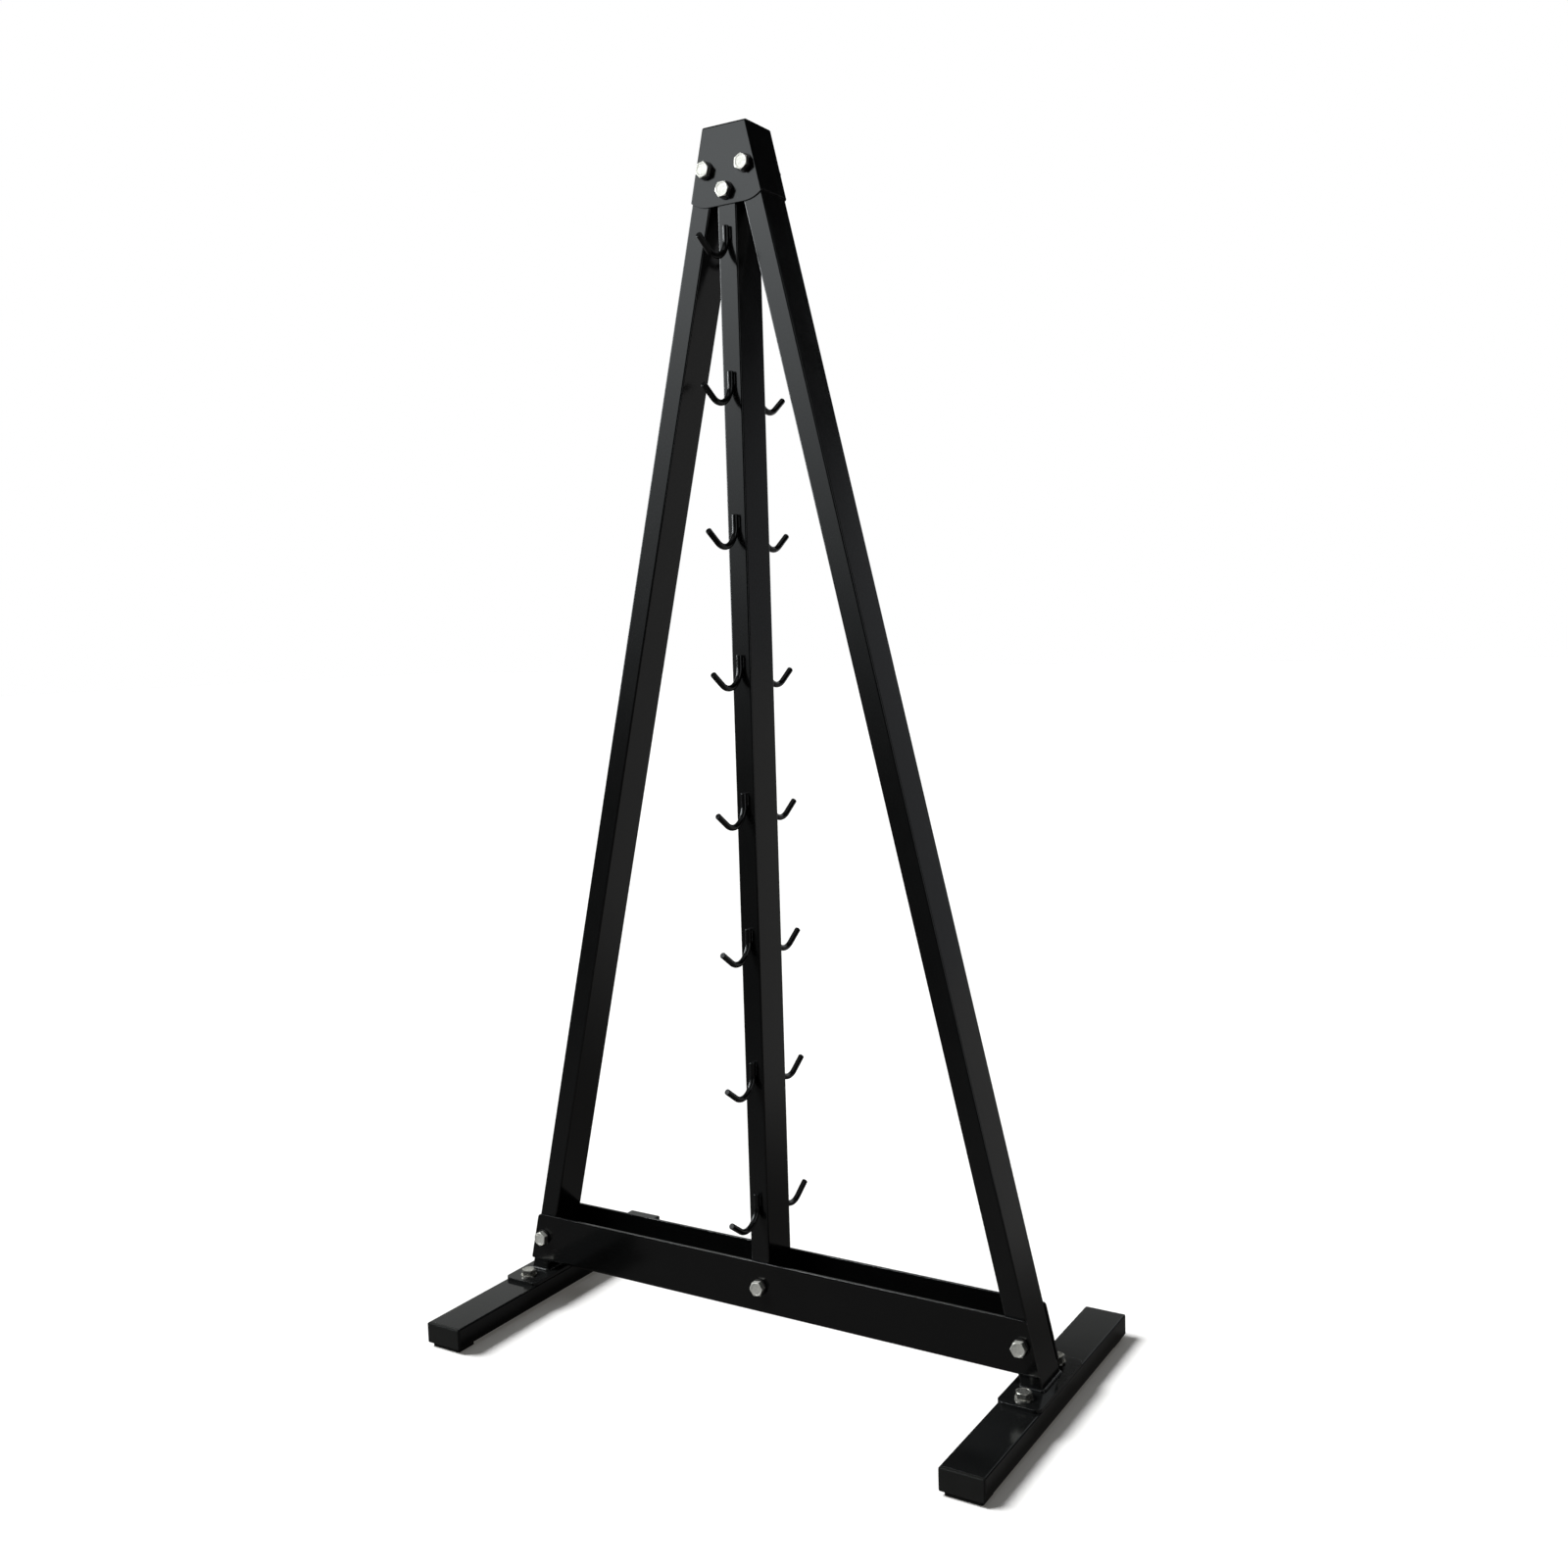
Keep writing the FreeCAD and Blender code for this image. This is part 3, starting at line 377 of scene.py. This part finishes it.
def front_seats(places, under_head, turns):
    """Seats of bolts put in from the front, with the underside of the head at -under_head."""
    return [Matrix.Translation((x, -under_head, z)) @ FORWARD
            @ Matrix.Rotation(math.radians(turn), 4, "Z")
            for (x, z), turn in zip(places, turns)]


def through_length(under_head):
    """Length of a bolt that goes right through and is held by a nut behind."""
    return 2 * under_head + NUT_TALL + BOLT_END


hood_under = TUBE_DEPTH / 2 + HOOD_SHEET + WASHER_THICK
beam_under = TUBE_DEPTH / 2 + BEAM_SHEET + WASHER_THICK
hood_x, beam_x = leg_x(HOOD_LEG_BOLT), leg_x(BEAM_BOLT)
hood_places = ((-hood_x, HOOD_LEG_BOLT), (hood_x, HOOD_LEG_BOLT), (0.0, HOOD_POST_BOLT))
beam_places = ((-beam_x, BEAM_BOLT), (0.0, BEAM_BOLT), (beam_x, BEAM_BOLT))
foot_places = [(side * leg_x(PLATE_TOP), reach * PLATE_BOLT)
               for side in (-1, 1) for reach in (-1, 1)]
foot_seats = [Matrix.Translation((x, y, PLATE_TOP + WASHER_THICK))
              @ Matrix.Rotation(math.radians(turn), 4, "Z")
              for (x, y), turn in zip(foot_places, FOOT_TURNS)]
make_bolts("hood_bolts_threaded", "hood_bolts", front_seats(hood_places, hood_under, HOOD_TURNS),
           through_length(hood_under), zinc)
beam_bolts = make_bolts("beam_bolts_threaded", "beam_bolts",
                        front_seats(beam_places, beam_under, BEAM_TURNS),
                        through_length(beam_under), zinc)
foot_bolts = make_bolts("foot_bolts_threaded", "foot_bolts", foot_seats, FOOT_BOLT_LENGTH,
                        fresh_zinc)

# ---------------------------------------------------------------- welds

RIPPLE_PITCH = 0.0022
BEAD_SIDES = 10
LEG_BEAD, HOOK_BEAD = 0.0027, 0.0015       # radii
BEAD_TAPER = 4                             # rings over which an open bead comes to its end
CORNER_STEPS, HOOK_BEAD_STEPS = 6, 32
GROOVE_ACROSS, GROOVE_OUT = 0.42 * HOOK_ROD, 0.07 * HOOK_ROD    # between round stem and flat tube
BELOW_STEM, BELOW_TOP = 0.002, 0.0015      # where a hook's bead starts, and where it stops


def add_bead(bm, path, outwards, radius, rng, closed):
    """Weld bead along a path: rings across it, swollen and pinched like laid-down puddles."""
    rings = []
    travelled = 0.0
    count = len(path)
    for index, point in enumerate(path):
        ahead = path[(index + 1) % count] if closed or index < count - 1 else point
        behind = path[index - 1] if closed or index else point
        along = (ahead - behind).normalized()
        out = (outwards[index] - along * outwards[index].dot(along)).normalized()
        across = along.cross(out)
        if index:
            travelled += (point - path[index - 1]).length
        phase = travelled / RIPPLE_PITCH % 1.0
        size = radius * (0.90 + 0.16 * math.sqrt(1.0 - phase) + rng.uniform(-0.03, 0.03))
        if not closed:
            end = min(index, count - 1 - index) / BEAD_TAPER
            size *= min(1.0, 0.35 + 0.65 * end)
        rings.append([
            bm.verts.new(point + size * (math.cos(turn) * out + math.sin(turn) * across))
            for turn in (2 * math.pi * side / BEAD_SIDES for side in range(BEAD_SIDES))])
    if closed:
        rings.append(rings[0])
    for face in skin_rings(bm, rings, close_ends=not closed):
        face.smooth = True


def finish_mesh(bm, name):
    """Mesh with all its faces turned outwards."""
    mesh = bpy.data.meshes.new(name)
    bmesh.ops.recalc_face_normals(bm, faces=bm.faces)
    bm.to_mesh(mesh)
    bm.free()
    return mesh


def make_leg_weld(name, side, seed):
    """Fillet weld round the foot of a leg, on its plate."""
    rng = random.Random(seed)
    half_x = TUBE_WIDTH / 2 * math.sqrt(1 + LEG_SLOPE ** 2)
    half_y = TUBE_DEPTH / 2
    centre = Vector((side * leg_x(PLATE_TOP), 0.0, PLATE_TOP))
    corners = [(half_x, half_y), (-half_x, half_y), (-half_x, -half_y), (half_x, -half_y)]
    path, outwards = [], []
    step_length = RIPPLE_PITCH / 4
    for index, (x, y) in enumerate(corners):
        next_x, next_y = corners[(index + 1) % len(corners)]
        run = Vector((next_x - x, next_y - y, 0.0))
        along = run.normalized()
        out = Vector((along.y, -along.x, 0.0))
        straight = run.length - 2 * TUBE_CORNER
        steps = round(straight / step_length)
        for step in range(steps):
            offset = TUBE_CORNER + straight * step / steps
            path.append(centre + Vector((x, y, 0.0)) + along * offset)
            outwards.append(out)
        turn_centre = Vector((next_x, next_y, 0.0)) - along * TUBE_CORNER - out * TUBE_CORNER
        for step in range(CORNER_STEPS):
            angle = math.radians(90) * step / CORNER_STEPS
            direction = out * math.cos(angle) + along * math.sin(angle)
            path.append(centre + turn_centre + direction * TUBE_CORNER)
            outwards.append(direction)
    bm = bmesh.new()
    add_bead(bm, path, outwards, LEG_BEAD, rng, closed=True)
    add_piece(name, finish_mesh(bm, name), powder_coat)


def make_hook_welds(name, facing, seed):
    """Two beads beside the stem of every hook on one face of the upright."""
    rng = random.Random(seed)
    bm = bmesh.new()
    for hook in range(HOOK_COUNT):
        lowest = HOOK_HIGHEST - HOOK_PITCH * hook
        low, high = lowest + HOOK_BEND - BELOW_STEM, lowest + HOOK_STEM - BELOW_TOP
        y = facing * (TUBE_DEPTH / 2 + GROOVE_OUT)
        for side in (-1, 1):
            x = side * GROOVE_ACROSS
            path = [Vector((x, y, low + (high - low) * step / HOOK_BEAD_STEPS))
                    for step in range(HOOK_BEAD_STEPS + 1)]
            outwards = [Vector((side * 0.7, facing * 0.7, 0.0))] * len(path)
            add_bead(bm, path, outwards, HOOK_BEAD, rng, closed=False)
    add_piece(name, finish_mesh(bm, name), powder_coat)


make_leg_weld("left_leg_weld", -1, seed=3)
make_leg_weld("right_leg_weld", 1, seed=4)
make_hook_welds("front_hook_welds", -1, seed=5)
make_hook_welds("rear_hook_welds", 1, seed=6)

# ---------------------------------------------------------------- floor

FLOOR_REACH = 30.0
FLOOR_GLOW = 0.078                         # lifts the lit floor to just above white


def make_floor():
    """Plain pale floor in a left and a right half, each to be lit on its own.

    Reflections see it dimmer than the camera does, with more light far behind the rack and less
    towards the front, so that black satin stays black."""
    material, tree, shader = new_material("pale_floor", Roughness=1.0, Specular_IOR_Level=0.0)
    where = object_place(tree)
    straight = add_node(tree, "ShaderNodeLightPath").outputs["Is Camera Ray"]
    pale = blend_colours(tree, cloud(tree, where, 3.0), (0.90, 0.90, 0.895), (0.92, 0.92, 0.915))
    across, depth, _ = add_node(tree, "ShaderNodeSeparateXYZ", {0: where}).outputs
    # Painted light and shade, seen only in reflections: the floor's colour is dimmer far to the
    # front, darker just behind the rack like a painted shadow of it, and brighter far behind.
    front = spread(tree, depth, -1.5, -0.5, 0.031, 0.083)
    rear = spread(tree, depth, -0.1, 0.3, 0.0, -0.042)
    far = spread(tree, depth, 0.35, 1.05, 0.0, 0.135, smooth=True)
    dim_level = math_of(tree, "ADD", math_of(tree, "ADD", front, rear), far)
    dim = add_node(tree, "ShaderNodeCombineColor",
                   {channel: dim_level for channel in ("Red", "Green", "Blue")})
    tree.links.new(blend_colours(tree, straight, dim.outputs[0], pale),
                   shader.inputs["Base Color"])
    shader.inputs["Emission Color"].default_value = (1.0, 0.96, 0.88, 1.0)
    # Painted glow, seen only in reflections: the floor glows faintly, less far to the front and
    # to the left; to the camera it glows evenly at FLOOR_GLOW.
    faint = math_of(tree, "MULTIPLY", spread(tree, across, -0.50, -0.15, 0.3, 1.0),
                    spread(tree, depth, -1.5, -0.5, 0.004, 0.030))
    seen = math_of(tree, "MULTIPLY", straight, FLOOR_GLOW)
    tree.links.new(math_of(tree, "MAXIMUM", faint, seen), shader.inputs["Emission Strength"])
    halves = []
    for name, left, right in (("floor_left", -FLOOR_REACH, 0.0),
                              ("floor_right", 0.0, FLOOR_REACH)):
        mesh = bpy.data.meshes.new(name)
        mesh.from_pydata([(left, -FLOOR_REACH, 0), (right, -FLOOR_REACH, 0),
                          (right, FLOOR_REACH, 0), (left, FLOOR_REACH, 0)], [], [(0, 1, 2, 3)])
        mesh.materials.append(material)
        half = bpy.data.objects.new(name, mesh)
        bpy.context.scene.collection.objects.link(half)
        half.visible_diffuse = False
        halves.append(half)
    return halves


# ---------------------------------------------------------------- light and camera

SOFTBOX_HUE = (0.93, 0.98, 1.0)


def aim(thing, place, target):
    """Put a light at a place, looking at the target."""
    direction = Vector(target) - Vector(place)
    turn = direction.to_track_quat("-Z", "Y").to_matrix().to_4x4()
    thing.matrix_world = Matrix.Translation(place) @ turn


def fade_light(light, low, high):
    """Make a rectangular light come up from dark between two heights on it, 0 to 1, and let it
    fall off to one side."""
    light.use_nodes = True
    tree = light.node_tree
    tree.nodes.clear()
    place_on = add_node(tree, "ShaderNodeNewGeometry").outputs["Parametric"]
    across, height, _ = add_node(tree, "ShaderNodeSeparateXYZ", {0: place_on}).outputs
    rise = math_of(tree, "POWER", spread(tree, height, low, high, 0.0, 1.0), 1.6)
    strength = math_of(tree, "MULTIPLY", rise, spread(tree, across, 0.0, 0.7, 0.55, 1.0))
    glow = add_node(tree, "ShaderNodeEmission", {"Strength": strength})
    output = add_node(tree, "ShaderNodeOutputLight")
    tree.links.new(glow.outputs[0], output.inputs["Surface"])


def add_softbox(name, receivers, place, target, size, radiance, fade=None, mirrored=True):
    """Rectangular light of a width and height, for some of the pieces; with mirrored off it is
    not seen in reflections."""
    width, tall = size
    light = bpy.data.lights.new(name, "AREA")
    light.shape = "RECTANGLE"
    light.size, light.size_y = width, tall
    light.color = SOFTBOX_HUE
    light.energy = radiance * math.pi * width * tall
    if fade:
        fade_light(light, *fade)
    thing = bpy.data.objects.new(name, light)
    bpy.context.scene.collection.objects.link(thing)
    aim(thing, place, target)
    thing.light_linking.receiver_collection = receivers
    thing.visible_glossy = mirrored


def collect(name, things):
    """Collection for light linking; it is not in the scene itself."""
    group = bpy.data.collections.new(name)
    for thing in things:
        group.objects.link(thing)
    return group


def add_floor_light(floor, blockers, irradiance, width, towards):
    """Soft sun for one half of the floor, shaded only by the parts that stand on it.

    The width is in degrees, and the floor gets the same irradiance however low the sun is."""
    light = bpy.data.lights.new(floor.name + "_light", "SUN")
    light.energy = -irradiance * Vector(towards).length / towards[2]
    light.angle = math.radians(width)
    thing = bpy.data.objects.new(light.name, light)
    bpy.context.scene.collection.objects.link(thing)
    aim(thing, -Vector(towards), (0.0, 0.0, 0.0))
    thing.light_linking.receiver_collection = collect(floor.name + "_only", [floor])
    thing.light_linking.blocker_collection = collect(floor.name + "_standing", blockers)


def make_studio():
    """White to the camera; in reflections a dark studio, with a dim ceiling and a low pale
    backdrop behind the rack that falls away to the right."""
    world = bpy.data.worlds.new("studio")
    bpy.context.scene.world = world
    world.use_nodes = True
    tree = world.node_tree
    tree.nodes.clear()
    direction = add_node(tree, "ShaderNodeTexCoord").outputs["Generated"]
    right, back, up = add_node(tree, "ShaderNodeSeparateXYZ", {0: direction}).outputs
    behind = spread(tree, back, 0.05, 0.45, 0.0, 1.0, smooth=True)
    bearing = math_of(tree, "DIVIDE", right, math_of(tree, "MAXIMUM", back, 0.05))
    beyond = math_of(tree, "MAXIMUM", math_of(tree, "SUBTRACT", bearing, 0.09), 0.0)
    drop = math_of(tree, "MULTIPLY", math_of(tree, "MULTIPLY", beyond, beyond), 0.92)
    below = spread(tree, math_of(tree, "ADD", up, drop), 0.40, 0.44, 1.0, 0.0, smooth=True)
    level = spread(tree, right, -0.65, 0.45, 0.66, 0.24)
    backdrop = math_of(tree, "MULTIPLY", math_of(tree, "MULTIPLY", behind, below), level)
    ceiling = spread(tree, up, 0.80, 0.95, 0.012, 0.30, smooth=True)
    hue = blend_colours(tree, spread(tree, right, -0.25, 0.25, 0.0, 1.0),
                        (0.80, 0.82, 0.80), (0.77, 0.79, 0.83))
    reflected = add_node(tree, "ShaderNodeBackground",
                         {"Color": hue, "Strength": math_of(tree, "ADD", backdrop, ceiling)})
    seen = add_node(tree, "ShaderNodeBackground", {"Color": (1.0, 1.0, 1.0, 1.0),
                                                   "Strength": 1.0})
    straight = add_node(tree, "ShaderNodeLightPath").outputs["Is Camera Ray"]
    mix = add_node(tree, "ShaderNodeMixShader", {0: straight, 1: reflected.outputs[0],
                                                 2: seen.outputs[0]})
    output = add_node(tree, "ShaderNodeOutputWorld")
    tree.links.new(mix.outputs[0], output.inputs["Surface"])


def add_camera(place, yaw, pitch, roll, lens):
    """Camera turned left by yaw from +Y, up by pitch, and rolled, in radians."""
    camera = bpy.data.cameras.new("camera")
    camera.lens = lens
    camera.sensor_width = 36.0
    camera.clip_end = 200.0
    thing = bpy.data.objects.new("camera", camera)
    bpy.context.scene.collection.objects.link(thing)
    forward = Vector((-math.sin(yaw) * math.cos(pitch), math.cos(yaw) * math.cos(pitch),
                      math.sin(pitch)))
    level = Vector((math.cos(yaw), math.sin(yaw), 0.0))
    up = level.cross(forward)
    side = math.cos(roll) * level + math.sin(roll) * up
    top = -math.sin(roll) * level + math.cos(roll) * up
    turn = Matrix((side, top, -forward)).transposed().to_4x4()
    thing.matrix_world = Matrix.Translation(place) @ turn
    bpy.context.scene.camera = thing


def pick(*endings):
    """CAD nodes whose names have one of the endings."""
    return [piece for name, piece in nodes.items() if name.endswith(endings)]


# Pieces by the lights that reach them.
crossbeam = nodes["crossbeam"]
meshes = [thing for thing in bpy.context.scene.objects if thing.type == "MESH"]
standing = pick("_foot", "_end_cap", "_pad", "_leg_plate")
everything = collect("everything", meshes)
key_lit = collect("key_lit", [piece for piece in meshes if piece not in (foot_bolts, crossbeam)])
high_parts = collect("high_parts", [piece for piece in meshes if piece not in standing])
low_parts = collect("low_parts", pick("_foot", "_leg_plate") + [crossbeam, foot_bolts])
painted = collect("painted", [piece for piece in meshes
                              if powder_coat in piece.data.materials[:]])
beam_heads = collect("beam_heads", [beam_bolts])

left_floor, right_floor = make_floor()
add_floor_light(left_floor, standing, irradiance=3.4, width=24, towards=(0.76, 0.30, -0.76))
add_floor_light(right_floor, standing, irradiance=3.4, width=26, towards=(0.49, 0.28, -0.76))

add_softbox("softbox", everything, place=(-1.60, -1.80, 1.65), target=(0.0, 0.0, 1.35),
            size=(2.2, 2.5), radiance=2.3, fade=(0.0, 0.62))
add_softbox("key", key_lit, place=(-3.00, -2.50, 4.00), target=(0.0, 0.0, 0.60),
            size=(2.4, 2.4), radiance=42.0, mirrored=False)
add_softbox("edge", low_parts, place=(-1.50, -1.25, 2.75), target=(0.0, 0.0, 0.60),
            size=(1.2, 1.2), radiance=30.0)
add_softbox("low_fill", beam_heads, place=(-1.60, -1.90, 0.60), target=(0.0, 0.0, 0.10),
            size=(1.2, 1.0), radiance=3.0)
add_softbox("left_strip", high_parts, place=(-2.30, -0.62, 1.50), target=(0.0, 0.0, 1.20),
            size=(1.0, 1.4), radiance=10.0)
add_softbox("right_panel", painted, place=(2.60, -0.40, 1.60), target=(0.0, 0.0, 1.50),
            size=(1.6, 2.8), radiance=0.8)
add_softbox("rear_panel", painted, place=(0.25, 2.40, 1.20), target=(0.0, 0.0, 1.20),
            size=(0.9, 2.4), radiance=0.7)
make_studio()

add_camera(place=(0.95773, -1.50142, 0.84847), yaw=0.5500, pitch=-0.0972, roll=-0.0293,
           lens=35.358)
bpy.context.scene.view_settings.view_transform = "Standard"
bpy.context.scene.view_settings.look = "None"
